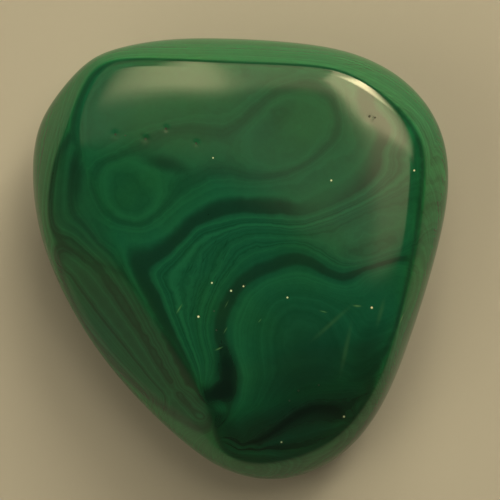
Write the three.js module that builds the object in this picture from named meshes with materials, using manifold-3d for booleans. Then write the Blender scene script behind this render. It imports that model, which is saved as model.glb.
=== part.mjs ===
// Malachite specimen: one tumbled and polished stone, lying on its underside.
// Millimetres, +Z up. The origin is on the resting face, under the middle of the stone's box.
import * as THREE from 'three';
import { mergeVertices } from 'three/addons/utils/BufferGeometryUtils.js';
import Module from 'manifold-3d';

// Heights are measured from the girdle, the level where the stone is widest.
const TOP_HEIGHT = 5.1;
const UNDERSIDE_DEPTH = 6.7;
const RESTING_DEPTH = 6.5;

// The wide faces are domes: each falls to the girdle's level at this distance from the middle.
const TOP_DOME_REACH = 32.5;
const UNDERSIDE_DOME_REACH = 38;

// The side wall bulges: it would close over the middle at these heights above and below the girdle.
const WALL_RISE = 12;
const WALL_DROP = 10;

// Flats worn round the side: compass angle that each faces, in degrees from +X, its distance from
// the middle, and the distance of the sloping shoulder over it. Together the flats give the
// rounded triangle seen from above, and the shoulders give the broad rounded rim.
const SIDE_FLATS = [
  { facing: 0, reach: 23, shoulder: 16.2 },
  { facing: 24, reach: 27, shoulder: 18.5 },
  { facing: 52, reach: 24, shoulder: 18.4 },
  { facing: 88, reach: 20.5, shoulder: 17 },
  { facing: 112, reach: 29, shoulder: 20.8 },
  { facing: 135, reach: 30, shoulder: 21.5 },
  { facing: 157, reach: 25, shoulder: 18 },
  { facing: 180, reach: 21.5, shoulder: 15.8 },
  { facing: 204, reach: 16.8, shoulder: 14 },
  { facing: 226, reach: 16.5, shoulder: 13 },
  { facing: 255, reach: 22, shoulder: 15.8 },
  { facing: 283, reach: 24.5, shoulder: 16 },
  { facing: 306, reach: 24, shoulder: 16 },
  { facing: 324, reach: 23, shoulder: 16.5 },
  { facing: 342, reach: 17, shoulder: 15.6 },
];

// Every shoulder leans over by this much from level.
const SHOULDER_TILT = 56;

// Facets between the wide faces and the rim: the angle that each faces, its tilt from level
// (over 90 degrees on the underside) and its distance from the middle.
const FACETS = [
  { facing: 195, tilt: 27, reach: 9 },
  { facing: 215, tilt: 38, reach: 9.5 },
  { facing: 285, tilt: 13, reach: 7 },
  { facing: 285, tilt: 30, reach: 10.1 },
  { facing: 352, tilt: 42, reach: 13.5 },
  { facing: 120, tilt: 126, reach: 18 },
  { facing: 20, tilt: 134, reach: 16 },
  { facing: 235, tilt: 130, reach: 14 },
];

// How crisply neighbouring faces meet: low values melt into each other, high ones keep an edge.
const SIDE_CRISPNESS = 8;
const EDGE_CRISPNESS = 26;

// The mesh starts as a ball of even triangles, pressed flatter so that they stay even on the stone.
const BALL_DETAIL = 20;
const BALL_FLATNESS = 0.4;

const CUTTER_WIDTH = 60;
const CUTTER_DEPTH = 10;

const MALACHITE = new THREE.MeshStandardMaterial({
  color: new THREE.Color().setRGB(0.11, 0.27, 0.16, THREE.SRGBColorSpace),
  roughness: 0.2,
  metalness: 0,
});

// Direction square to a face that looks along `facing` and leans over by `tilt` from level.
function faceDirection(facing, tilt) {
  const compass = THREE.MathUtils.degToRad(facing);
  const lean = THREE.MathUtils.degToRad(tilt);
  const outward = Math.sin(lean);
  return new THREE.Vector3(outward * Math.cos(compass), outward * Math.sin(compass), Math.cos(lean));
}

// Soft maximum of several values: their power sum, which rounds the edge where two are equal.
function blend(values, crispness) {
  const largest = Math.max(...values, Number.EPSILON);
  const sum = values.reduce((total, value) => total + (Math.max(value, 0) / largest) ** crispness, 0);
  return largest * sum ** (1 / crispness);
}

const sideFaces = SIDE_FLATS.map((flat) => faceDirection(flat.facing, 90).divideScalar(flat.reach));
const shoulderFaces = SIDE_FLATS.map(
  (flat) => faceDirection(flat.facing, SHOULDER_TILT).divideScalar(flat.shoulder),
);
const facetFaces = FACETS.map((facet) => faceDirection(facet.facing, facet.tilt).divideScalar(facet.reach));

// The stone's size along a direction, as a ratio: it is 1 on the surface, less than 1 inside,
// and doubles when the point's distance from the middle doubles.
function stoneRatio(point) {
  const above = point.z > 0;
  const flatDistance = Math.hypot(point.x, point.y);
  const side = blend(sideFaces.map((face) => face.dot(point)), SIDE_CRISPNESS);
  const wall = Math.hypot(side, point.z / (above ? WALL_RISE : WALL_DROP));
  const dome = Math.hypot(
    point.z / (above ? TOP_HEIGHT : UNDERSIDE_DEPTH),
    flatDistance / (above ? TOP_DOME_REACH : UNDERSIDE_DOME_REACH),
  );
  const slopes = [...shoulderFaces, ...facetFaces].map((face) => face.dot(point));
  return blend([wall, dome, ...slopes], EDGE_CRISPNESS);
}

const wasm = await Module();
wasm.setup();

function toSolid(geometry) {
  geometry.deleteAttribute('normal');
  geometry.deleteAttribute('uv');
  const merged = mergeVertices(geometry);
  return new wasm.Manifold(new wasm.Mesh({
    numProp: 3,
    vertProperties: new Float32Array(merged.attributes.position.array),
    triVerts: new Uint32Array(merged.index.array),
  }));
}

function toGeometry(solid) {
  const mesh = solid.getMesh();
  const geometry = new THREE.BufferGeometry();
  geometry.setAttribute('position', new THREE.BufferAttribute(mesh.vertProperties, 3));
  geometry.setIndex(new THREE.BufferAttribute(mesh.triVerts, 1));
  return geometry;
}

// The whole stone: every point of the ball moves out along its own direction to the surface.
function wornStone() {
  const ball = new THREE.IcosahedronGeometry(1, BALL_DETAIL);
  const points = ball.attributes.position;
  const point = new THREE.Vector3();
  for (let index = 0; index < points.count; index += 1) {
    point.fromBufferAttribute(points, index);
    point.z *= BALL_FLATNESS;
    point.divideScalar(stoneRatio(point));
    points.setXYZ(index, point.x, point.y, point.z);
  }
  return ball;
}

// The stone rests on a small flat worn on its underside, cut here with a block.
function restingStone() {
  const cutter = new THREE.BoxGeometry(CUTTER_WIDTH, CUTTER_WIDTH, CUTTER_DEPTH);
  cutter.translate(0, 0, -RESTING_DEPTH - CUTTER_DEPTH / 2);
  const geometry = toGeometry(toSolid(wornStone()).subtract(toSolid(cutter)));
  geometry.computeBoundingBox();
  const middle = geometry.boundingBox.getCenter(new THREE.Vector3());
  geometry.translate(-middle.x, -middle.y, RESTING_DEPTH);
  geometry.computeVertexNormals();
  return geometry;
}

const stone = new THREE.Mesh(restingStone(), MALACHITE);
stone.name = 'malachite_stone';

const group = new THREE.Group();
group.add(stone);

export default group;
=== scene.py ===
# %% [markdown]
# # A tumbled malachite stone
# Malachite grows in water-thin coats, one over the other, round small knobs. A cut or a worn
# face shows the coats as bands and the knobs as eyes. This stone was tumbled with grit until
# its corners were round and then polished, so soft facets meet in blurred edges.
# The lesson builds the worn shape as one numpy surface, works out which coat each point lies
# in, and lets a material turn that number into colour.

# %% Load the frame
import bpy
import numpy as np
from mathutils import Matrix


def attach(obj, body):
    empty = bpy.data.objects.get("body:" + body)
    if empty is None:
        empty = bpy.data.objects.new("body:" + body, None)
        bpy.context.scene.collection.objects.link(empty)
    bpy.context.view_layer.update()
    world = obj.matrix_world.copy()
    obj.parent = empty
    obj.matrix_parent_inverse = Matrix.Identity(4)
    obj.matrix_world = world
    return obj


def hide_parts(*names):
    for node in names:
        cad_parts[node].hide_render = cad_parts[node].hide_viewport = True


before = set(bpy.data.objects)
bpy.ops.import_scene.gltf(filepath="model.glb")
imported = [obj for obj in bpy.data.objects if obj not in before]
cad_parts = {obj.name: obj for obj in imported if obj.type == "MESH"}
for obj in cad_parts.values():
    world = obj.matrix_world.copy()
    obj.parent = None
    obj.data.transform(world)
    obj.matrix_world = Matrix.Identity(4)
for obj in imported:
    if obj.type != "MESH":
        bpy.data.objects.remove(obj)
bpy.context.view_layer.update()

STONE = "malachite_stone"
MM = 0.001

# %% [markdown]
# ## The worn shape
# Tumbling wears flats on a pebble and rounds the edges between them. Such a form could be
# sculpted, or a box could be subdivided, but neither gives the flats their measured places.
# Here each flat is a plane at a known distance from the middle, and a soft maximum joins
# them: its crispness says how sharp the worn edge between two flats is. The values are the
# stone's driving sizes, in millimetres and degrees.

# %% The stone's driving sizes
TOP_HEIGHT = 5.1            # above the girdle, the level where the stone is widest
UNDERSIDE_DEPTH = 6.7
RESTING_DEPTH = 6.5         # where the small flat that it rests on is worn
TOP_DOME_REACH = 32.5
UNDERSIDE_DOME_REACH = 38.0
WALL_RISE = 12.0
WALL_DROP = 10.0
SHOULDER_TILT = 56.0        # the slope over every side flat, in degrees from level
SIDE_CRISPNESS = 8
EDGE_CRISPNESS = 26

SIDE_FLATS = [              # facing (degrees from +X), reach of the flat and of the shoulder (mm)
    (0, 23.0, 16.2), (24, 27.0, 18.5), (52, 24.0, 18.4), (88, 20.5, 17.0), (112, 29.0, 20.8),
    (135, 30.0, 21.5), (157, 25.0, 18.0), (180, 21.5, 15.8), (204, 16.8, 14.0), (226, 16.5, 13.0),
    (255, 22.0, 15.8), (283, 24.5, 16.0), (306, 24.0, 16.0), (324, 23.0, 16.5), (342, 17.0, 15.6),
]
FACETS = [                  # facing, tilt from level (degrees), reach (mm)
    (195, 27, 9.0), (215, 38, 9.5), (285, 13, 7.0), (285, 30, 10.1), (352, 42, 13.5),
    (120, 126, 18.0), (20, 134, 16.0), (235, 130, 14.0),
]


def face_directions(facing, tilt):
    """Unit vectors square to faces: (sin tilt cos facing, sin tilt sin facing, cos tilt)."""
    facing, tilt = np.broadcast_arrays(np.radians(facing), np.radians(tilt))
    level_part = np.sin(tilt)
    return np.stack([level_part * np.cos(facing), level_part * np.sin(facing), np.cos(tilt)], axis=-1)


TINY = 1e-9                 # keeps divisions and logarithms away from 0


def soft_maximum(values, crispness):
    """The crispness-th root of the sum of the crispness-th powers, along the last axis."""
    largest = np.maximum(values.max(axis=-1, keepdims=True), TINY)
    powers = (np.maximum(values, 0.0) / largest) ** crispness
    return largest[..., 0] * powers.sum(axis=-1) ** (1.0 / crispness)


sides = np.array(SIDE_FLATS)
facets = np.array(FACETS)
SIDE_FACES = face_directions(sides[:, 0], 90.0) / sides[:, 1:2]
SHOULDER_FACES = face_directions(sides[:, 0], SHOULDER_TILT) / sides[:, 2:3]
FACET_FACES = face_directions(facets[:, 0], facets[:, 1]) / facets[:, 2:3]
SLOPE_FACES = np.vstack([SHOULDER_FACES, FACET_FACES])


def stone_ratio(points):
    """Soft maximum of the wall, the dome and the slopes: 1 on the surface, less inside.
    The wall is hypot(side, z / wall height) and the dome is hypot(z / height, r / reach)."""
    z = points[..., 2]
    above = z > 0
    flat_distance = np.hypot(points[..., 0], points[..., 1])
    side = soft_maximum(points @ SIDE_FACES.T, SIDE_CRISPNESS)
    wall = np.hypot(side, z / np.where(above, WALL_RISE, WALL_DROP))
    dome = np.hypot(z / np.where(above, TOP_HEIGHT, UNDERSIDE_DEPTH),
                    flat_distance / np.where(above, TOP_DOME_REACH, UNDERSIDE_DOME_REACH))
    everything = np.concatenate([wall[..., None], dome[..., None], points @ SLOPE_FACES.T], axis=-1)
    return soft_maximum(everything, EDGE_CRISPNESS)


print("flats, shoulders and facets worn on the stone:", 2 * len(SIDE_FLATS) + len(FACETS))

# %% [markdown]
# ## A grid that wraps the stone
# The surface is a function of two parameters: the turn round the stone, and the way from the
# middle of the top, over the edge, to the middle of the underside. Plain latitudes would
# crowd the rim of such a flat stone and starve its wide top face, so the second parameter
# runs at even steps of length down a squarish ellipse, with longer steps under the girdle,
# where nothing fine shows.

# %% The grid
COLUMNS = 440
RINGS = 222
GUIDE_REACH = 19.0
GUIDE_HEIGHT = 5.6
GUIDE_SQUARENESS = 3.0
GUIDE_SAMPLES = 4001
UNDERSIDE_STEP = 1.7        # length of a step underneath, for one of 1 on top


def guide_profile(rings):
    """Points of |r / reach|^n + |z / height|^n = 1 from the top down, at even weighted lengths."""
    turn = np.linspace(np.pi / 2, -np.pi / 2, GUIDE_SAMPLES)
    power = 2.0 / GUIDE_SQUARENESS
    out = GUIDE_REACH * np.abs(np.cos(turn)) ** power
    up = GUIDE_HEIGHT * np.sign(np.sin(turn)) * np.abs(np.sin(turn)) ** power
    step = np.hypot(np.diff(out), np.diff(up))
    step = step / np.where(up[1:] > 0, 1.0, UNDERSIDE_STEP)
    length = np.concatenate([[0.0], np.cumsum(step)])
    even = np.linspace(0.0, length[-1], rings + 1)
    return np.interp(even, length, out), np.interp(even, length, up)


def stone_surface(columns, rings):
    """Each grid direction (r cos u, r sin u, z) divided by the stone's ratio along it."""
    out, up = guide_profile(rings)
    turn = np.linspace(0.0, 2 * np.pi, columns, endpoint=False)
    direction = np.stack([
        out[:, None] * np.cos(turn),
        out[:, None] * np.sin(turn),
        np.repeat(up[:, None], columns, axis=1),
    ], axis=-1)
    return direction / stone_ratio(direction)[..., None]


surface = stone_surface(COLUMNS, RINGS)
print("grid:", surface.shape, "size, mm:", np.ptp(surface.reshape(-1, 3), axis=0).round(2).tolist())

# %% [markdown]
# ## Marks of the tumbler
# A polished stone is never a perfect form: its faces swell and sink by hundredths of a
# millimetre, which bends the reflections, and some grit has left small dents. Sculpting
# could do this by eye. Waves and dents along the surface's own normals do it in two short
# functions, and only ever take stone away, so the outline stays where it is.

# %% Swells and dents
SWELL_DEPTH = 0.012
SWELL_LENGTHS = (5.0, 12.0)
SWELL_COUNT = 14
SWELL_GAIN = 3.0            # how fully the swells use their depth
SWELL_SEED = 5
DENTS = [                   # x, y, radius, depth (mm), on the top face
    (-11.1, 11.1, 0.40, 0.02), (-8.4, 10.7, 0.40, 0.02), (-6.6, 11.6, 0.45, 0.02),
    (-3.9, 10.3, 0.40, 0.02), (11.6, 12.6, 0.45, 0.02), (6.9, -11.2, 0.40, 0.02),
]


def outward(grid):
    """Cross product of the grid's two directions, made one long; straight up or down at the ends."""
    along = np.gradient(grid, axis=0)
    around = np.roll(grid, -1, axis=1) - np.roll(grid, 1, axis=1)
    normal = np.cross(along, around)
    normal[0] = (0.0, 0.0, 1.0)
    normal[-1] = (0.0, 0.0, -1.0)
    return normal / np.linalg.norm(normal, axis=-1, keepdims=True)


def swell(points):
    """A sum of sine waves with seeded directions and phases, from 0 to 1."""
    random = np.random.default_rng(SWELL_SEED)
    heading = random.normal(size=(SWELL_COUNT, 3))
    heading /= np.linalg.norm(heading, axis=1, keepdims=True)
    length = random.uniform(*SWELL_LENGTHS, SWELL_COUNT)
    phase = random.uniform(0.0, 2 * np.pi, SWELL_COUNT)
    waves = np.sin(points @ (heading * 2 * np.pi / length[:, None]).T + phase)
    return 0.5 + 0.5 * np.tanh(waves.mean(axis=-1) * SWELL_GAIN)


def dents(points):
    """The deepest of the dents at each point: depth times (1 - (distance / radius)^2)^2."""
    x, y, radius, depth = np.array(DENTS).T
    away = np.hypot(points[..., None, 0] - x, points[..., None, 1] - y) / radius
    bowls = depth * np.maximum(1.0 - away ** 2, 0.0) ** 2
    return np.where(points[..., 2] > 0, bowls.max(axis=-1), 0.0)


low = surface.reshape(-1, 3).min(axis=0)
high = surface.reshape(-1, 3).max(axis=0)
middle = np.array([(low[0] + high[0]) / 2, (low[1] + high[1]) / 2, -RESTING_DEPTH])
worn = surface - middle
worn -= outward(worn) * (SWELL_DEPTH * swell(worn) + dents(worn))[..., None]
worn[..., 2] = np.maximum(worn[..., 2], 0.0)
print("middle of the stone's box, mm:", middle.round(2).tolist())
print("height, mm:", worn[..., 2].max().round(3))

# %% [markdown]
# ## The coats of malachite
# Every point of the stone lies in one coat, and its level counts the coats. In the real
# stone the level follows knobs that grew at different speeds. Stacked noise would give bands
# somewhere; here the main bands are lines on the top face with a level each, and a thin
# plate, the smoothest sheet through given heights, carries the level between them. Under
# the polished top the level climbs steadily, so the side wall cuts the coats one by one and
# shows them as stripes.

# %% The main bands
LEVELS_PER_MM = 1.15        # how fast the level climbs with the depth under the top
BAND_LINES = {              # level, closed or not, points on the top face in millimetres
    "lower dark band": (0.0, False, [
        (9.0, -1.6), (7.6, -1.1), (6.4, -0.3), (5.3, 0.1), (4.2, 0.0), (2.6, -0.6), (1.2, -1.2),
        (0.0, -2.2), (-1.0, -3.7), (-1.7, -5.3), (-1.8, -7.0), (-1.2, -9.2), (-1.0, -10.6),
        (-1.6, -11.7), (-2.6, -12.2)]),
    "its pale right end": (-1.1, False, [(14.0, -0.4), (12.6, -0.8), (11.2, -1.2)]),
    "over its right end": (1.5, False, [
        (14.3, 0.8), (12.4, 0.2), (10.6, -0.3), (9.0, -0.4), (7.7, 0.3), (6.5, 1.0)]),
    "above its right end": (1.9, False, [(14.4, 3.2), (12.2, 2.2), (10.2, 1.4), (8.2, 1.5)]),
    "under the corner and the tail": (3.8, False, [
        (-4.0, 2.4), (-5.4, 1.0), (-6.7, -0.2), (-7.7, -1.3), (-7.3, -2.4), (-6.6, -4.0), (-5.8, -5.9),
        (-5.0, -7.8), (-4.2, -9.8)]),
    "faded end of the upper band": (5.85, False, [
        (12.0, 11.2), (11.2, 9.2), (9.8, 7.6), (8.2, 6.5), (6.6, 5.8), (5.2, 5.2)]),
    "upper dark band": (4.9, False, [
        (3.8, 4.7), (2.0, 4.6), (0.0, 4.7), (-2.0, 4.3), (-3.8, 3.5), (-5.0, 2.4), (-6.2, 1.3),
        (-7.5, 0.4), (-8.8, -0.4)]),
    "its tail down the ridge": (4.9, False, [
        (-9.0, -1.2), (-8.3, -2.5), (-7.4, -4.2), (-6.6, -5.9), (-5.8, -7.7), (-4.9, -9.6),
        (-4.0, -11.5)]),
    "strip left of the tail": (6.2, False, [
        (-10.4, -0.6), (-9.6, -2.2), (-8.4, -4.6), (-7.2, -7.0), (-6.1, -9.3), (-5.0, -11.4)]),
    "second line of the facet": (10.0, False, [
        (-15.3, 1.7), (-13.6, 0.1), (-11.9, -1.6), (-10.4, -3.4), (-8.9, -5.8), (-7.5, -8.1),
        (-6.0, -10.8), (-4.6, -12.8), (-3.2, -14.2)]),
    "middle of the facet": (9.0, False, [
        (-15.9, 0.3), (-14.0, -1.6), (-12.0, -3.8), (-10.0, -6.6), (-8.0, -9.8), (-6.4, -12.0),
        (-4.4, -14.2)]),
    "foot of the facet": (11.2, False, [
        (-15.6, -1.8), (-13.4, -4.9), (-10.2, -8.8), (-7.2, -12.2)]),
    "line under the eyes": (7.3, False, [
        (7.2, 9.4), (5.6, 8.4), (3.8, 7.6), (2.0, 7.3), (0.8, 7.3), (-0.6, 7.5), (-2.2, 7.6),
        (-3.4, 7.0), (-4.8, 6.3), (-6.2, 5.0), (-7.6, 3.7), (-9.2, 3.0), (-11.0, 3.5), (-12.4, 5.0),
        (-13.0, 6.8),
        (-12.4, 8.4), (-10.6, 9.4), (-8.6, 10.4), (-6.4, 11.4), (-4.0, 11.6), (-1.6, 11.4),
        (0.3, 12.4), (2.1, 14.1), (3.9, 15.3), (6.3, 15.6), (8.2, 14.2), (8.8, 11.8), (8.2, 10.4)]),
    "pale ring of the right eye": (7.9, True, [
        (8.3, 12.1), (7.4, 14.2), (5.4, 15.0), (3.2, 14.1), (1.8, 12.7), (-0.5, 10.7), (-0.9, 9.4),
        (0.5, 8.4), (3.0, 7.9), (5.0, 8.4), (6.8, 9.6), (7.9, 10.7)]),
    "heart of the right eye": (8.35, True, [
        (7.2, 12.1), (6.3, 13.8), (4.5, 14.2), (2.8, 13.3), (1.9, 12.1), (1.4, 10.6), (3.0, 9.6),
        (5.0, 9.7), (6.5, 10.6)]),
    "pale ring of the left eye": (8.1, True, [
        (-12.0, 6.9), (-11.7, 5.2), (-10.7, 3.9), (-9.2, 3.5), (-7.7, 4.4), (-6.9, 5.9), (-7.2, 7.4),
        (-8.6, 8.3), (-10.2, 8.8), (-11.5, 8.2)]),
    "middle of the left eye": (8.8, False, [(-9.6, 6.8), (-9.0, 5.8)]),
    "middle of the right eye": (8.4, False, [(4.5, 12.0)]),
    "neck between the eyes": (8.0, False, [(-4.2, 9.6), (-2.4, 9.7)]),
    "pale band along the top": (6.3, False, [
        (-10.5, 11.4), (-8.0, 12.1), (-4.8, 13.0), (-1.2, 13.6), (0.5, 14.5), (2.3, 15.7),
        (3.9, 16.5)]),
    "upper edge": (5.9, False, [(-12.5, 13.6), (-9.6, 14.6), (-5.1, 15.6), (-2.1, 16.6)]),
    "right of the eye": (6.2, False, [(10.5, 12.1), (9.5, 15.1)]),
    "further right": (4.0, False, [(12.8, 9.7), (12.2, 13.3)]),
    "right edge": (3.0, False, [(14.4, 7.6), (14.7, 10.3)]),
    "stripes between the dark bands": (2.4, False, [
        (14.3, 5.6), (11.3, 4.5), (8.3, 3.1), (5.4, 2.4), (2.9, 2.6), (0.5, 2.4), (-1.6, 1.4),
        (-3.4, -1.6), (-4.2, -5.0), (-3.4, -9.0)]),
    "basin's rim": (-2.5, False, [
        (12.8, -3.7), (9.8, -3.4), (6.8, -2.6), (4.5, -2.3), (2.3, -3.1), (1.0, -5.1), (0.6, -7.8),
        (1.0, -10.5), (0.6, -12.7)]),
    "basin": (-5.0, False, [(6.8, -6.7), (7.2, -9.1), (4.7, -9.4)]),
    "edge of the basin": (-6.5, False, [
        (0.6, -14.9), (2.6, -13.9), (4.8, -12.3), (6.8, -11.6), (10.8, -11.5)]),
    "dark wave at the narrow end": (-8.0, False, [
        (0.2, -16.6), (1.6, -16.2), (3.2, -15.3), (4.8, -13.9), (6.3, -13.1), (8.4, -13.1),
        (10.2, -14.0)]),
    "pale lens under it": (-9.2, False, [(1.8, -16.8), (4.1, -15.8), (6.8, -14.9), (9.6, -14.6)]),
    "narrow end": (-10.5, False, [
        (-2.0, -16.3), (-0.4, -16.9), (2.0, -17.0), (4.6, -16.8), (7.0, -16.1), (9.4, -14.9),
        (10.6, -13.8)]),
    "left shoulder": (6.6, False, [(-13.9, 10.5), (-14.2, 7.5), (-13.9, 4.1), (-12.4, 1.6)]),
    "left edge": (8.6, False, [(-15.6, 10.0), (-16.0, 7.0), (-16.1, 3.6)]),
}


def curve_through(points, closed, spacing=0.9):
    """Cubic through the points: each stretch leaves a point along the line between its neighbours."""
    points = np.array(points, dtype=float)
    if len(points) < 3:
        return points
    if closed:
        padded = np.vstack([points[-1:], points, points[:2]])
    else:
        padded = np.vstack([2 * points[0] - points[1], points, 2 * points[-1] - points[-2]])
    pieces = []
    for before, start, end, after in zip(padded, padded[1:], padded[2:], padded[3:]):
        count = max(1, int(np.hypot(*(end - start)) / spacing))
        t = (np.arange(count) / count)[:, None]
        pieces.append(0.5 * (2 * start + (end - before) * t
                             + (2 * before - 5 * start + 4 * end - after) * t ** 2
                             + (3 * start - before - 3 * end + after) * t ** 3))
    if not closed:
        pieces.append(points[-1:])
    return np.vstack(pieces)


def plate_bend(squared):
    """The thin plate's own curve: r^2 log r^2."""
    return squared * np.log(np.maximum(squared, TINY))


def fit_plate(knots, heights, slack=0.02):
    """Weights of a thin plate through the heights: its bends at the knots, plus a flat tilt."""
    count = len(knots)
    squared = ((knots[:, None] - knots) ** 2).sum(axis=-1)
    flat = np.column_stack([np.ones(count), knots])
    system = np.block([[plate_bend(squared) + slack * np.eye(count), flat], [flat.T, np.zeros((3, 3))]])
    return np.linalg.solve(system, np.concatenate([heights, np.zeros(3)]))


def read_plate(places, knots, weights, chunk=8000):
    """Height of the plate at each place: the sum of weight times bend, plus the tilt."""
    parts = []
    for start in range(0, len(places), chunk):
        some = places[start:start + chunk]
        squared = ((some[:, None] - knots) ** 2).sum(axis=-1)
        parts.append(plate_bend(squared) @ weights[:-3] + weights[-3] + some @ weights[-2:])
    return np.concatenate(parts)


curves = [(level, curve_through(points, closed)) for level, closed, points in BAND_LINES.values()]
knots = np.vstack([points for _, points in curves])
heights = np.concatenate([np.full(len(points), level) for level, points in curves])
plate = fit_plate(knots, heights)
print("band lines:", len(BAND_LINES), "knots:", len(knots))

# %% The level at every point
SHEET_TILT = 50.0           # facets flatter than this belong to the polished top sheet


def sheet_height(places):
    """Height of the top sheet over each place: the lowest of the dome and the flatter facets."""
    reach = np.minimum(np.hypot(places[:, 0], places[:, 1]) / TOP_DOME_REACH, 1.0)
    height = TOP_HEIGHT * np.sqrt(1.0 - reach ** 2)
    for facing, tilt, distance in FACETS:
        if tilt < SHEET_TILT:
            slope = face_directions(facing, tilt)
            height = np.minimum(height, (distance - places @ slope[:2]) / slope[2])
    return height


def depth_under_top(points):
    """How far each point lies under the polished top sheet, in mm."""
    return np.maximum(sheet_height(points[:, :2] + middle[:2]) + RESTING_DEPTH - points[:, 2], 0.0)


def coat_level(points):
    """Level on the sheet over each point, plus the depth under it times the levels per mm."""
    return read_plate(points[:, :2], knots, plate) + LEVELS_PER_MM * depth_under_top(points)


# %% [markdown]
# ## From grid to mesh
# The grid's first and last rows are one point each, so they become single vertices with a
# fan of triangles, and the columns wrap round: the skin has no seam and no open pole. The
# level and the depth under the top travel with the vertices as attributes.

# %% Build the stone
def skin_faces(columns, rings):
    """Fans at the two poles and quads between, each listed so that it faces outward."""
    column = np.arange(columns)
    following = (column + 1) % columns
    start = 1 + np.arange(rings - 2)[:, None] * columns
    quads = np.stack([start + column, start + columns + column,
                      start + columns + following, start + following], axis=-1).reshape(-1, 4)
    last = 1 + (rings - 2) * columns
    bottom = np.full_like(column, last + columns)
    top_fan = np.stack([np.zeros_like(column), 1 + column, 1 + following], axis=-1)
    bottom_fan = np.stack([bottom, last + following, last + column], axis=-1)
    return quads, np.vstack([top_fan, bottom_fan])


def grid_mesh(name, grid):
    """A closed mesh of a grid whose first and last rows are single points."""
    columns = grid.shape[1]
    rings = grid.shape[0] - 1
    points = np.vstack([grid[0, :1], grid[1:-1].reshape(-1, 3), grid[-1, :1]])
    quads, fans = skin_faces(columns, rings)
    sizes = np.concatenate([np.full(len(quads), 4), np.full(len(fans), 3)])
    mesh = bpy.data.meshes.new(name)
    mesh.vertices.add(len(points))
    mesh.vertices.foreach_set("co", (points * MM).ravel())
    mesh.loops.add(int(sizes.sum()))
    mesh.loops.foreach_set("vertex_index", np.concatenate([quads.ravel(), fans.ravel()]))
    mesh.polygons.add(len(sizes))
    mesh.polygons.foreach_set("loop_start", np.concatenate([[0], np.cumsum(sizes)[:-1]]))
    mesh.polygons.foreach_set("use_smooth", np.ones(len(sizes), dtype=bool))
    mesh.update(calc_edges=True)
    mesh.validate()
    return mesh, points


stone_mesh, stone_points = grid_mesh("polished_stone", worn)
levels = coat_level(stone_points)
for attribute, values in (("coat_level", levels), ("coat_depth", depth_under_top(stone_points))):
    stone_mesh.attributes.new(attribute, "FLOAT", "POINT").data.foreach_set("value", values)
stone = bpy.data.objects.new("polished_stone", stone_mesh)
bpy.context.scene.collection.objects.link(stone)
print("faces:", len(stone_mesh.polygons), "levels:", levels.min().round(1), "to", levels.max().round(1))

# %% [markdown]
# ## Malachite as a material
# Copper carbonate is green all through: coats differ only in how deep the green is. The
# level is folded into a fixed range and read by a colour ramp for the main bands; a
# one-dimensional noise read at the level gives the fine stripes, because a coat has one tone
# wherever it runs. Slow noise in space makes the green drift a little toward blue or olive.

# %% Node helpers
def node(tree, kind, inputs=None, **settings):
    """A node with its settings; each input is linked when it is given a socket, or else set."""
    made = tree.nodes.new(kind)
    for name, value in settings.items():
        setattr(made, name, value)
    for name, value in (inputs or {}).items():
        if isinstance(value, bpy.types.NodeSocket):
            tree.links.new(value, made.inputs[name])
        else:
            made.inputs[name].default_value = value
    return made


def math(tree, operation, first, second=0.0, third=0.0):
    """The result of one arithmetic node."""
    return node(tree, "ShaderNodeMath", {0: first, 1: second, 2: third}, operation=operation).outputs[0]


def rescale(tree, value, from_low, from_high, to_low, to_high, interpolation="LINEAR"):
    """The value carried from one range to another, held at the new range's ends."""
    inputs = {"Value": value, "From Min": from_low, "From Max": from_high,
              "To Min": to_low, "To Max": to_high}
    return node(tree, "ShaderNodeMapRange", inputs, interpolation_type=interpolation).outputs["Result"]


def mix_colour(tree, factor, first, second, blend="MIX"):
    """Two colours mixed or blended by a factor."""
    made = node(tree, "ShaderNodeMix", data_type="RGBA", blend_type=blend)
    for index, value in ((0, factor), (6, first), (7, second)):
        if isinstance(value, bpy.types.NodeSocket):
            tree.links.new(value, made.inputs[index])
        else:
            made.inputs[index].default_value = value
    return made.outputs[2]


def noise(tree, place, scale, detail=2.0, roughness=0.5, seed=0.0):
    """Noise in space, centred on 0.5; the seed picks another sample of it."""
    inputs = {"Vector": place, "W": seed, "Scale": scale, "Detail": detail, "Roughness": roughness}
    return node(tree, "ShaderNodeTexNoise", inputs, noise_dimensions="4D").outputs["Fac"]


def noise_along(tree, number, scale, detail=3.0, roughness=0.6):
    """Noise along one number, centred on 0.5."""
    inputs = {"W": number, "Scale": scale, "Detail": detail, "Roughness": roughness}
    return node(tree, "ShaderNodeTexNoise", inputs, noise_dimensions="1D").outputs["Fac"]


def ramp(tree, factor, stops, interpolation="EASE"):
    """A colour ramp with the given (position, colour) stops."""
    made = node(tree, "ShaderNodeValToRGB", {"Fac": factor})
    made.color_ramp.interpolation = interpolation
    points = made.color_ramp.elements
    while len(points) > 1:
        points.remove(points[-1])
    points[0].position, points[0].color = stops[0][0], (*stops[0][1], 1.0)
    for position, colour in stops[1:]:
        points.new(position).color = (*colour, 1.0)
    return made.outputs["Color"]


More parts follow.
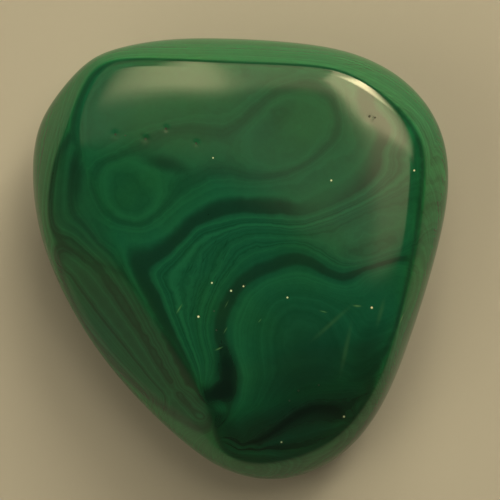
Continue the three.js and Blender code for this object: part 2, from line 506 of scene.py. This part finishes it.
# %% The greens and the order of the bands
PER_MM = 1000.0             # noise scales are written per millimetre
DEEP = (0.0032, 0.0136, 0.0120)
DARK = (0.0054, 0.0328, 0.0224)
DUSK = (0.0059, 0.0480, 0.0304)
DIM = (0.0060, 0.0530, 0.0325)
MID = (0.0061, 0.0616, 0.0368)
LIGHT = (0.0078, 0.0784, 0.0448)
LOWEST_LEVEL = -12.0
HIGHEST_LEVEL = 12.0
BAND_COLOURS = [
    (-12.0, MID), (-10.4, DEEP), (-9.4, DUSK), (-8.8, DARK), (-8.1, DEEP), (-7.4, DARK),
    (-5.6, DUSK), (-3.4, MID), (-1.5, LIGHT), (-0.8, MID), (-0.35, DARK), (0.25, DARK),
    (0.8, MID), (1.2, LIGHT), (1.6, MID), (2.0, LIGHT), (2.5, MID), (2.9, LIGHT), (3.4, MID),
    (3.85, LIGHT), (4.4, DARK), (5.2, DARK), (6.0, LIGHT), (6.8, LIGHT), (7.4, DIM),
    (8.1, LIGHT), (8.9, MID), (9.5, LIGHT), (10.2, DUSK), (10.7, LIGHT), (12.0, LIGHT),
]
WALL_LIGHT = (0.0070, 0.092, 0.040)
WALL_PALE = (0.0100, 0.125, 0.052)
WALL_COLOURS = [            # read by noise instead of the level, so these are places on the ramp
    (0.35, WALL_LIGHT), (0.42, WALL_PALE), (0.5, WALL_LIGHT), (0.56, WALL_PALE), (0.64, WALL_LIGHT),
]
print("bands on the ramp:", len(BAND_COLOURS))

# %% [markdown]
# ## Marks on the face
# Some coats are clouded darker, and thin pale veins and scratches cross them. One short pale
# streak on the crease at the right is no vein but a painted glint, a window's reflection; the
# small pale specks are painted glints too, and grains torn out as pits are painted near black
# for the shade inside them. They could be drawn on an image, but an image has one size. Here
# each mark is an ellipse seen from above, a few numbers long, that a Mapping node turns into a
# circle, so it stays sharp at any size and is easy to move.

# %% Blots, veins, a painted glint, specks painted as glints, and pits
SHADES = [                  # x, y, half length, half width (mm), turn (degrees), how dark
    (-6.6, 8.5, 3.0, 1.1, -15.0, 0.60), (9.4, 0.7, 1.9, 1.0, 25.0, 0.10),
    (6.3, -9.8, 7.4, 4.2, 18.0, 0.50), (-14.6, 7.4, 3.8, 1.0, 88.0, 0.50),
    (-1.2, -10.1, 3.7, 1.6, 97.0, 0.95), (-2.2, -12.0, 2.4, 1.5, 15.0, 0.95),
    (11.4, -8.5, 4.8, 2.2, 72.0, 0.45), (-1.6, -14.7, 2.4, 1.5, -35.0, 0.55),
]
VEINS_AND_GLINT = [                   # x, y, half length, half width (mm), turn (degrees), how pale
    (8.1, -5.7, 3.2, 0.30, 42.0, 0.16), (9.4, -8.0, 3.2, 0.32, 78.0, 0.16),
    (12.5, -4.7, 1.8, 0.32, 75.0, 0.16), (7.4, -4.65, 0.45, 0.07, -14.0, 0.9),
    (10.4, -4.15, 0.5, 0.13, -5.0, 0.9), (1.75, -5.45, 0.3, 0.06, 50.0, 0.8),
    (-5.4, -4.4, 0.65, 0.09, 58.0, 1.0), (-1.3, -6.3, 0.45, 0.06, 60.0, 0.8),
    (-1.2, -4.0, 0.5, 0.06, 62.0, 0.6), (-1.9, -7.95, 0.5, 0.09, 25.0, 0.9),
    # the last is no vein: a painted glint, a window's reflection on the crease at the right
    (14.4, -5.3, 0.75, 0.07, 66.0, 1.0),
]
FADED = (8.6, 7.2, 6.6, 2.6, 44.0, 0.75)   # where the upper dark band fades, as for the shades
DASHES = (-2.8, -1.2, 6.0, 2.8, 62.0)      # where fine dashes are worn, as for the shades
# pale specks painted as small glints of the polish
GLINT_SPECKS = [                  # x, y, radius (mm), on the top face
    (8.1, 7.0, 0.10), (15.5, 7.9, 0.10), (-2.4, 9.0, 0.09), (-2.5, -2.1, 0.10),
    (0.3, -2.4, 0.09), (-0.8, -2.8, 0.11), (-3.7, -5.1, 0.12), (4.2, -3.4, 0.10),
    (11.7, -4.3, 0.12), (9.3, -14.1, 0.12), (3.7, -16.4, 0.10),
]
# pits, painted near black for the shade inside them
PITS = [                    # x, y, radius (mm), on the top face
    (-11.1, 11.1, 0.13), (-10.2, 11.0, 0.10), (-8.4, 10.7, 0.14), (-6.6, 11.6, 0.16),
    (-3.9, 10.3, 0.13), (11.5, 12.7, 0.14), (12.0, 12.6, 0.11), (7.0, -11.2, 0.12),
    (5.2, -11.7, 0.12), (4.4, -12.6, 0.12), (-2.3, -4.6, 0.10), (-2.1, -6.3, 0.10),
]
TOP_ONLY = (5.5, 6.5)       # heights (mm) over the table between which the marks come in
DASH_LENGTH = 8.0           # how many times longer than wide a dash is
DASH_SCALE = 7.0            # dashes per mm across
DASH_NOISE = (0.6, 0.72)    # the peaks of the noise that show as dashes


def flattened(tree, place):
    """The place moved straight down to height 0, so that a blot is the same at any height."""
    apart = node(tree, "ShaderNodeSeparateXYZ", {0: place})
    return node(tree, "ShaderNodeCombineXYZ", {0: apart.outputs["X"], 1: apart.outputs["Y"]}).outputs[0]


def blot(tree, place, x, y, half_length, half_width, turn, inner):
    """1 inside an ellipse seen from above and 0 outside it; `inner` is where the fade begins."""
    inputs = {"Vector": place, "Location": (x * MM, y * MM, 0.0),
              "Rotation": (0.0, 0.0, np.radians(turn)),
              "Scale": (half_length * MM, half_width * MM, 1.0)}
    local = node(tree, "ShaderNodeMapping", inputs, vector_type="TEXTURE").outputs[0]
    away = node(tree, "ShaderNodeVectorMath", {0: local}, operation="LENGTH").outputs["Value"]
    return rescale(tree, away, inner, 1.0, 1.0, 0.0, "SMOOTHSTEP")


def total(tree, values):
    """The sum of the values, held at 1."""
    result = values[0]
    for value in values[1:]:
        added = node(tree, "ShaderNodeMath", {0: result, 1: value}, operation="ADD", use_clamp=True)
        result = added.outputs[0]
    return result


def marks(tree, place):
    """Soft shades, pale veins and one painted glint, specks painted pale as glints, and pits painted
    dark as shade, each as one number from 0 to 1.
    """
    up = node(tree, "ShaderNodeSeparateXYZ", {0: place}).outputs["Z"]
    on_top = rescale(tree, up, TOP_ONLY[0] * MM, TOP_ONLY[1] * MM, 0.0, 1.0)
    flat = flattened(tree, place)
    shades = [math(tree, "MULTIPLY", blot(tree, flat, *shade[:5], 0.1), shade[5]) for shade in SHADES]
    veins_and_glint = [math(tree, "MULTIPLY", blot(tree, flat, *streak[:5], 0.0), streak[5]) for streak in VEINS_AND_GLINT]
    glint_specks = [blot(tree, flat, x, y, radius, radius, 0.0, 0.5) for x, y, radius in GLINT_SPECKS]
    pits = [blot(tree, flat, x, y, radius, radius, 0.0, 0.4) for x, y, radius in PITS]
    return [math(tree, "MULTIPLY", total(tree, kind), on_top) for kind in (shades, veins_and_glint, glint_specks, pits)]


def worn_dashes(tree, place):
    """Short fine dashes along the turn of their patch, from 0 to 1: noise drawn out along it."""
    x, y, half_length, half_width, turn = DASHES
    inputs = {"Vector": place, "Rotation": (0.0, 0.0, np.radians(turn)),
              "Scale": (DASH_LENGTH, 1.0, 1.0)}
    drawn_out = node(tree, "ShaderNodeMapping", inputs, vector_type="TEXTURE").outputs[0]
    streaks = noise(tree, drawn_out, DASH_SCALE * PER_MM, detail=1.0, seed=6.0)
    streaks = rescale(tree, streaks, *DASH_NOISE, 0.0, 1.0)
    return math(tree, "MULTIPLY", streaks, blot(tree, place, x, y, half_length, half_width, turn, 0.4))


print("shades, veins, specks, pits:", len(SHADES), len(VEINS_AND_GLINT), len(GLINT_SPECKS), len(PITS))

# %% [markdown]
# ## The bands and the polish
# The level wanders a little before the ramp reads it, because real coats are never quite even.
# The fine stripes are strong between the two dark bands and faint inside them. On the side wall
# the coats are cut across, so there the depth under the top gives the stripes. A thin dark line
# round the rim, just under the crease, is a painted dark reflection: there the surface mirrors the
# dim horizon. The polish could be a clear coat over a rougher base, but malachite takes the polish
# itself, so it is one smooth Principled surface: it is dulled only at specks and pits, and a faint
# grain keeps the reflections from being those of glass.

# %% The bands
SLOW_WAVES = (0.22, 1.0, 0.8)     # waves per mm, seed of the noise, levels that the bands wander
QUICK_WAVES = (1.6, 2.0, 0.25)
STRIPES_PER_LEVEL = 2.6
STRIPE_NOISE = (0.35, 0.65)       # the middle part of the noise, which is spread over the tones
STRIPE_TONES = (-0.24, 0.2)
FIRST_CONTRAST = 0.45             # of the fine stripes, at the lowest levels
CONTRAST_STEPS = [                # from this level to that one the contrast changes by so much
    (-1.5, -0.8, -0.35), (0.4, 1.0, 0.9), (3.8, 4.3, -0.9), (5.4, 6.2, 0.25), (8.8, 9.6, 0.3),
]
CLOUDS_PER_MM = 1.1
CLOUD_NOISE = (0.3, 0.7)
CLOUD_TONES = (0.94, 1.1)
WALL_STRIPES = 1.7                # per mm of depth
WALL_LEVELS = 0.3                 # how much the level shifts the wall's stripes
WALL_STARTS = (0.05, 0.6)         # depths (mm) between which the wall's stripes take over
WALL_ENDS = (6.5, 9.0)            # and between which they give way again, on the underside
# depths (mm) of the painted dark reflection round the rim, where the crease mirrors the dim horizon
DARK_REFLECTION_STARTS = (0.2, 0.36)
DARK_REFLECTION_ENDS = (0.4, 0.6)
DARK_REFLECTION = 0.7                   # how dark it is


def wandering_level(tree, place):
    """The level plus slow and quick noise in space, each centred on 0."""
    level = node(tree, "ShaderNodeAttribute", attribute_name="coat_level").outputs["Fac"]
    for scale, seed, levels in (SLOW_WAVES, QUICK_WAVES):
        wave = noise(tree, place, scale * PER_MM, detail=3.0, seed=seed)
        level = math(tree, "MULTIPLY_ADD", math(tree, "SUBTRACT", wave, 0.5), levels, level)
    return level


def band_colour(tree, place, level):
    """The ramp's colour at the level, folded into the ramp's range; one stretch fades."""
    span = HIGHEST_LEVEL - LOWEST_LEVEL
    folded = math(tree, "PINGPONG", math(tree, "SUBTRACT", level, LOWEST_LEVEL), span)
    stops = [((band - LOWEST_LEVEL) / span, colour) for band, colour in BAND_COLOURS]
    bands = ramp(tree, math(tree, "DIVIDE", folded, span), stops)
    faded = math(tree, "MULTIPLY", blot(tree, flattened(tree, place), *FADED[:5], 0.3), FADED[5])
    return mix_colour(tree, faded, bands, (*LIGHT, 1.0))


def between(tree, value, starts, ends):
    """1 between the two ranges, with a soft rise over the first and a soft fall over the second."""
    return math(tree, "MULTIPLY", rescale(tree, value, *starts, 0.0, 1.0, "SMOOTHSTEP"),
                rescale(tree, value, *ends, 1.0, 0.0, "SMOOTHSTEP"))


def wall_colour(tree, bands, level):
    """The bands, or on the side wall stripes read at the depth, and a painted dark reflection round the
    rim.
    """
    depth = node(tree, "ShaderNodeAttribute", attribute_name="coat_depth").outputs["Fac"]
    round_rim = math(tree, "MULTIPLY_ADD", level, WALL_LEVELS, depth)
    stripes = ramp(tree, noise_along(tree, round_rim, WALL_STRIPES), WALL_COLOURS)
    colour = mix_colour(tree, between(tree, depth, WALL_STARTS, WALL_ENDS), bands, stripes)
    # a thin ring just under the crease is painted dark: a painted reflection of the dim horizon
    rim_reflection = between(tree, depth, DARK_REFLECTION_STARTS, DARK_REFLECTION_ENDS)
    return mix_colour(tree, math(tree, "MULTIPLY", rim_reflection, DARK_REFLECTION), colour, (*DARK, 1.0))


def stripe_tone(tree, place, level):
    """Fine stripes at the level, times their contrast there, plus a cloudy tone near 1."""
    contrast = FIRST_CONTRAST
    for low, high, change in CONTRAST_STEPS:
        contrast = math(tree, "ADD", contrast, rescale(tree, level, low, high, 0.0, change))
    stripes = noise_along(tree, level, STRIPES_PER_LEVEL)
    stripes = rescale(tree, stripes, *STRIPE_NOISE, *STRIPE_TONES)
    clouds = noise(tree, place, CLOUDS_PER_MM * PER_MM, detail=5.0, roughness=0.75, seed=7.0)
    clouds = rescale(tree, clouds, *CLOUD_NOISE, *CLOUD_TONES)
    return math(tree, "MULTIPLY_ADD", stripes, contrast, clouds)


def grey(tree, value):
    """One number as a grey colour, to multiply others with."""
    return node(tree, "ShaderNodeCombineXYZ", {0: value, 1: value, 2: value}).outputs[0]


# %% The polished malachite
DRIFT_PER_MM = 0.12
DRIFT_HUES = [(0.35, (1.20, 1.03, 0.90)), (0.65, (0.92, 0.97, 1.06))]   # toward olive, toward blue
DASH_TONE = -0.35
# the pale veins and the painted glint on the right crease take this colour
VEIN_AND_GLINT_COLOUR = (0.10, 0.24, 0.12, 1.0)
VEIN_AND_GLINT_SHARE = 0.6
# painted shade: the near-black inside of the pits
PIT_SHADE_COLOUR = (0.002, 0.006, 0.004, 1.0)
# the near-white colour of the painted glints at the specks
GLINT_SPECK_COLOUR = (0.55, 0.62, 0.50, 1.0)
GRAINS_PER_MM = 5.0
GRAIN_HEIGHT = 0.02               # mm
GRAIN_STRENGTH = 0.1
POLISH_NOISE = (0.3, 0.7)
POLISH = (0.05, 0.08)             # roughness of the best and of the worst polished places
MARK_ROUGHNESS = 0.5
STONE_IOR = 1.6                   # under malachite's own, to match the reflections in the photo


def stone_colour(tree, place, shades, veins_and_glint, glint_specks, pits):
    """Bands and wall, times the stripes' tone, the drift of hue and the dashes, under the marks."""
    level = wandering_level(tree, place)
    colour = wall_colour(tree, band_colour(tree, place, level), level)
    drift = noise(tree, place, DRIFT_PER_MM * PER_MM, detail=2.0, seed=4.0)
    dashes = math(tree, "MULTIPLY_ADD", worn_dashes(tree, place), DASH_TONE, 1.0)
    tones = (grey(tree, stripe_tone(tree, place, level)), ramp(tree, drift, DRIFT_HUES, "LINEAR"),
             grey(tree, dashes))
    for tone in tones:
        colour = mix_colour(tree, 1.0, colour, tone, "MULTIPLY")
    pale = math(tree, "MULTIPLY", veins_and_glint, VEIN_AND_GLINT_SHARE)
    # over the colour go the deep shades, the pale veins with the painted glint, the painted shade in
    # the pits and the painted glints of the specks
    for share, mark in ((shades, (*DEEP, 1.0)), (pale, VEIN_AND_GLINT_COLOUR), (pits, PIT_SHADE_COLOUR),
                        (glint_specks, GLINT_SPECK_COLOUR)):
        colour = mix_colour(tree, share, colour, mark)
    return colour


def malachite_material():
    """Polished malachite: its colour, a roughness that marks raise, and a faint grain."""
    material = bpy.data.materials.new("polished_malachite")
    material.use_nodes = True
    tree = material.node_tree
    tree.nodes.clear()
    place = node(tree, "ShaderNodeTexCoord").outputs["Object"]
    shades, veins_and_glint, glint_specks, pits = marks(tree, place)
    grain = noise(tree, place, GRAINS_PER_MM * PER_MM, detail=4.0, roughness=0.65, seed=3.0)
    bump = node(tree, "ShaderNodeBump", {
        "Strength": GRAIN_STRENGTH, "Distance": GRAIN_HEIGHT * MM, "Height": grain})
    wear = noise(tree, place, QUICK_WAVES[0] * PER_MM, detail=3.0, seed=QUICK_WAVES[1])
    marked = math(tree, "ADD", glint_specks, pits)
    shader = node(tree, "ShaderNodeBsdfPrincipled", {
        "Base Color": stone_colour(tree, place, shades, veins_and_glint, glint_specks, pits),
        "Roughness": math(tree, "MULTIPLY_ADD", marked, MARK_ROUGHNESS,
                          rescale(tree, wear, *POLISH_NOISE, *POLISH)),
        "IOR": STONE_IOR, "Normal": bump.outputs["Normal"]})
    node(tree, "ShaderNodeOutputMaterial", {"Surface": shader.outputs[0]})
    return material


stone.data.materials.append(malachite_material())
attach(stone, "root")
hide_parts(STONE)
print("nodes in the material:", len(stone.data.materials[0].node_tree.nodes))

# %% [markdown]
# ## A pale table
# The stone lies on a plain matt surface, wide enough to fill the view from any side. It is one
# level face; a thick board would look the same from above.

# %% The table
TABLE_SIZE = 1.4            # m
TABLE_COLOUR = (0.36, 0.36, 0.385)
TABLE_ROUGHNESS = 0.7
TABLE_IOR = 1.3


def table_material():
    """Matt pale paint."""
    material = bpy.data.materials.new("pale_table")
    material.use_nodes = True
    shader = material.node_tree.nodes["Principled BSDF"]
    shader.inputs["Base Color"].default_value = (*TABLE_COLOUR, 1.0)
    shader.inputs["Roughness"].default_value = TABLE_ROUGHNESS
    shader.inputs["IOR"].default_value = TABLE_IOR
    return material


def flat_sheet(name, x_range, y_range, height, columns, rows):
    """A level grid of points from the given ranges, in metres."""
    x, y = np.meshgrid(np.linspace(*x_range, columns + 1), np.linspace(*y_range, rows + 1))
    points = np.stack([x, y, np.full_like(x, height)], axis=-1).reshape(-1, 3)
    corner = (np.arange(rows)[:, None] * (columns + 1) + np.arange(columns)).ravel()
    quads = np.stack([corner, corner + 1, corner + columns + 2, corner + columns + 1], axis=-1)
    mesh = bpy.data.meshes.new(name)
    mesh.from_pydata(points.tolist(), [], quads.tolist())
    sheet = bpy.data.objects.new(name, mesh)
    bpy.context.scene.collection.objects.link(sheet)
    return sheet, points


half = TABLE_SIZE / 2
table, _ = flat_sheet("table_top", (-half, half), (-half, half), 0.0, 1, 1)
table.data.materials.append(table_material())
print("table, m across:", TABLE_SIZE)

# %% [markdown]
# ## The light that shows in the polish
# A polished stone shows the room: here a warm lamp high at the upper right, a tall window in
# front of it, a second window with a pale curtain at the upper left, and a faint glow between.
# Separate lamps would leave hard gaps in the reflections. One large sheet carries them all as
# a brightness that changes over it, worked out point by point from soft steps.

# %% The sheet of light
LIGHT_HEIGHT = 0.6          # lengths in metres, as everything on the sheet
LIGHT_X = (-0.45, 1.35)
LIGHT_Y = (-0.15, 1.65)
LIGHT_CELLS = 150
GLOW_GAIN = 1.35
WARM = (1.0, 0.83, 0.47)
EDGE_X = (-0.45, -0.10, 0.0, 0.05, 0.09, 0.10, 1.05)       # the light begins at this line
EDGE_Y = (0.04, 0.10, 0.07, 0.02, 0.0, -0.01, -0.01)
EDGE_WIDTH = 0.03           # over which it comes in

# Pairs for a soft step are its place and its width.
FAINT = 0.28                # brightness of each part, before the gain
FAINT_END = (0.285, 0.02)
WINDOW = 3.0
WINDOW_MIDDLE = (-0.045, 0.11)
WINDOW_SILL = (0.155, 0.06)
WINDOW_RIGHT = (0.0, 0.06)
WINDOW_LEFT_WIDTH = 0.07
WINDOW_LEFT_Y = (0.33, 0.52)    # the window's left end leans: as y goes from one to the other
WINDOW_LEFT_X = (-0.40, -0.07)  # it moves in x by this much
CURTAIN = 0.9
CURTAIN_SILL = (0.17, 0.08)
CURTAIN_LEFT = (-0.03, 0.03)
CURTAIN_RIGHT = (0.45, 0.3)
TALL_WINDOW = 3.6
TALL_SILL = (0.115, 0.04)
TALL_LEFT = (0.103, 0.012)
TALL_BEND = (0.3, 0.3)      # beyond this y its left side leans by this much
TALL_FADE = (0.38, 0.28)    # where it has faded out, and over what width
TALL_FADE_LEAN = 0.45
SILL_GLOW = 0.65            # of the sill under the tall window, which grows with y
SILL_RISE = 5.0
SILL_TOP = 0.1
LAMP = 14.0
LAMP_PLACE = (0.30, 0.50)
LAMP_ALONG = (0.53, 0.85)   # direction in which the lamp stretches
LAMP_WIDTH = 0.12
LAMP_START = (0.0, 0.22)


def soft_step(value, edge, width):
    """0 below the edge, 1 above it, with an S-curve of the given width between."""
    t = np.clip((value - edge) / width + 0.5, 0.0, 1.0)
    return t * t * (3 - 2 * t)


def soft_fall(value, edge, width):
    """1 below the edge, 0 above it: the soft step of the value's opposite."""
    return soft_step(-value, -edge, width)


def upper_window(x, y):
    """The window at the upper left: brightest along its middle, with soft ends."""
    middle, spread = WINDOW_MIDDLE
    left_end = np.interp(y, WINDOW_LEFT_Y, WINDOW_LEFT_X)
    ends = soft_fall(x, *WINDOW_RIGHT) * soft_step(x, left_end, WINDOW_LEFT_WIDTH)
    return WINDOW * np.exp(-((x - middle) / spread) ** 2) * soft_step(y, *WINDOW_SILL) * ends


def curtain(x, y):
    """The pale curtain beside it, which fades slowly to the right."""
    ends = soft_step(x, *CURTAIN_LEFT) * soft_fall(x, *CURTAIN_RIGHT)
    return CURTAIN * soft_step(y, *CURTAIN_SILL) * ends


def tall_window(x, y, lit):
    """The window at the right, over its fainter sill: the brighter of the two at each point."""
    fade_end, fade_width = TALL_FADE
    fade = np.clip((fade_end + TALL_FADE_LEAN * y - x) / fade_width, 0.0, 1.0)
    sill = (SILL_GLOW + SILL_RISE * np.clip(y, 0.0, SILL_TOP)) * lit
    bend, lean = TALL_BEND
    left, width = TALL_LEFT
    left_side = left + lean * np.clip(y - bend, 0.0, 1.0)
    pane = TALL_WINDOW * fade * soft_step(y, *TALL_SILL)
    return np.maximum(pane, sill) * soft_step(x, left_side, width)


def lamp(x, y):
    """The lamp: a long soft ridge of light that starts at its place."""
    from_x, from_y = x - LAMP_PLACE[0], y - LAMP_PLACE[1]
    across = from_x * LAMP_ALONG[1] - from_y * LAMP_ALONG[0]
    along = from_x * LAMP_ALONG[0] + from_y * LAMP_ALONG[1]
    return LAMP * np.exp(-(across / LAMP_WIDTH) ** 2) * soft_step(along, *LAMP_START)


def glow(x, y):
    """Brightness of the sheet: the brightest of its five parts at each point, times the gain."""
    lit = soft_step(y, np.interp(x, EDGE_X, EDGE_Y), EDGE_WIDTH) * soft_fall(x, *FAINT_END)
    parts = [FAINT * lit, upper_window(x, y), curtain(x, y), tall_window(x, y, lit), lamp(x, y)]
    return GLOW_GAIN * np.maximum.reduce(parts)


def warm_light(name, strength=None):
    """Warm emission, of one strength or, with none given, as strong as the glow at each point."""
    material = bpy.data.materials.new(name)
    material.use_nodes = True
    tree = material.node_tree
    tree.nodes.clear()
    if strength is None:
        strength = node(tree, "ShaderNodeAttribute", attribute_name="glow").outputs["Fac"]
    emission = node(tree, "ShaderNodeEmission", {"Color": (*WARM, 1.0), "Strength": strength})
    node(tree, "ShaderNodeOutputMaterial", {"Surface": emission.outputs[0]})
    return material


light, light_points = flat_sheet("sheet_of_light", LIGHT_X, LIGHT_Y, LIGHT_HEIGHT,
                                 LIGHT_CELLS, LIGHT_CELLS)
strengths = glow(light_points[:, 0], light_points[:, 1])
light.data.attributes.new("glow", "FLOAT", "POINT").data.foreach_set("value", strengths)
light.data.materials.append(warm_light("warm_light"))
light.visible_camera = False
print("light, mean and highest:", strengths.mean().round(2), strengths.max().round(2))

# %% [markdown]
# ## Soft shadow
# The stone's shadow needs more than the sheet: a low light beyond the broad end throws it
# toward the narrow end, and a weak fill at the lower left keeps it soft. Both could be lamps
# with a size; as sheets they are set like the first. The stone in the photo mirrors no such
# lights, so both are hidden from reflections.

# %% The low light and the soft fill
LOW_STRENGTH = 18.0
LOW_X = (-0.05, 0.75)
LOW_Y = (0.85, 1.65)
LOW_HEIGHT = 0.5
FILL_STRENGTH = 2.2
FILL_X = (-1.2, -0.3)
FILL_Y = (-0.75, 0.15)
FILL_HEIGHT = 0.55


def hidden_light(name, x_range, y_range, height, strength):
    """A level sheet of light that lights the scene and shows in no reflection."""
    sheet, _ = flat_sheet(name, x_range, y_range, height, 1, 1)
    sheet.data.materials.append(warm_light(name, strength))
    sheet.visible_camera = False
    sheet.visible_glossy = False
    print(name, "at", height, "m, strength", strength)


hidden_light("low_light", LOW_X, LOW_Y, LOW_HEIGHT, LOW_STRENGTH)
hidden_light("soft_fill", FILL_X, FILL_Y, FILL_HEIGHT, FILL_STRENGTH)

# %% [markdown]
# ## The room around
# Between the lights the polish mirrors the room: dim, darker overhead, and a little brighter
# toward a pale wall at the lower left. A picture of a room could stand there; a few numbers in
# the world do the same. Behind the stone the camera sees only a plain pale backdrop.

# %% The dim room
ROOM_GLOW = 0.08            # at the horizon
CEILING_GLOW = 0.02         # straight overhead, where nothing shines
ROOM_RISE = (0.1, 0.7)      # one turns into the other here: 0 is level, 1 is straight up
WALL_GLOW = 0.18            # of the pale wall at the lower left
WALL_SIDE = (-0.76, -0.65, 0.0)
WALL_SPREAD = (0.75, 0.95)  # 1 is straight at the wall
BACKDROP = (0.62, 0.60, 0.52, 1.0)


def room():
    """A dim warm room, darker overhead, for light and reflections; a plain pale backdrop behind."""
    world = bpy.data.worlds.new("room")
    world.use_nodes = True
    tree = world.node_tree
    tree.nodes.clear()
    direction = node(tree, "ShaderNodeTexCoord").outputs["Generated"]
    upward = node(tree, "ShaderNodeSeparateXYZ", {0: direction}).outputs["Z"]
    aside = node(tree, "ShaderNodeVectorMath", {0: direction, 1: WALL_SIDE}, operation="DOT_PRODUCT")
    strength = math(tree, "ADD", rescale(tree, upward, *ROOM_RISE, ROOM_GLOW, CEILING_GLOW),
                    rescale(tree, aside.outputs["Value"], *WALL_SPREAD, 0.0, WALL_GLOW))
    seen = node(tree, "ShaderNodeLightPath").outputs["Is Camera Ray"]
    dim = node(tree, "ShaderNodeBackground", {"Color": (*WARM, 1.0), "Strength": strength})
    pale = node(tree, "ShaderNodeBackground", {"Color": BACKDROP, "Strength": 1.0})
    both = node(tree, "ShaderNodeMixShader", {0: seen, 1: dim.outputs[0], 2: pale.outputs[0]})
    node(tree, "ShaderNodeOutputWorld", {"Surface": both.outputs[0]})
    bpy.context.scene.world = world


room()
bpy.context.scene.view_settings.view_transform = "Standard"
print("room, at the horizon and at the wall:", ROOM_GLOW, round(ROOM_GLOW + WALL_GLOW, 2))

# %% [markdown]
# ## The camera
# The photo looks straight down. How far off it was taken isn't known; 31 cm is a usual distance
# for so small a thing. The lens then follows from the width that the frame takes in.

# %% A camera over the stone
CAMERA_DISTANCE = 312.0     # from the girdle, mm
FRAME_WIDTH = 45.1          # seen at the girdle's height, mm
CAMERA_AIM = (0.88, 0.82)   # where the photo's middle falls, mm
SENSOR = 36.0               # mm
NEAREST_SEEN = 0.01         # m

camera_data = bpy.data.cameras.new("camera")
camera_data.sensor_width = SENSOR
camera_data.lens = SENSOR * CAMERA_DISTANCE / FRAME_WIDTH
camera_data.clip_start = NEAREST_SEEN
camera = bpy.data.objects.new("camera", camera_data)
camera.location = (CAMERA_AIM[0] * MM, CAMERA_AIM[1] * MM, (RESTING_DEPTH + CAMERA_DISTANCE) * MM)
bpy.context.scene.collection.objects.link(camera)
bpy.context.scene.camera = camera
print("lens, mm:", round(camera_data.lens, 1))
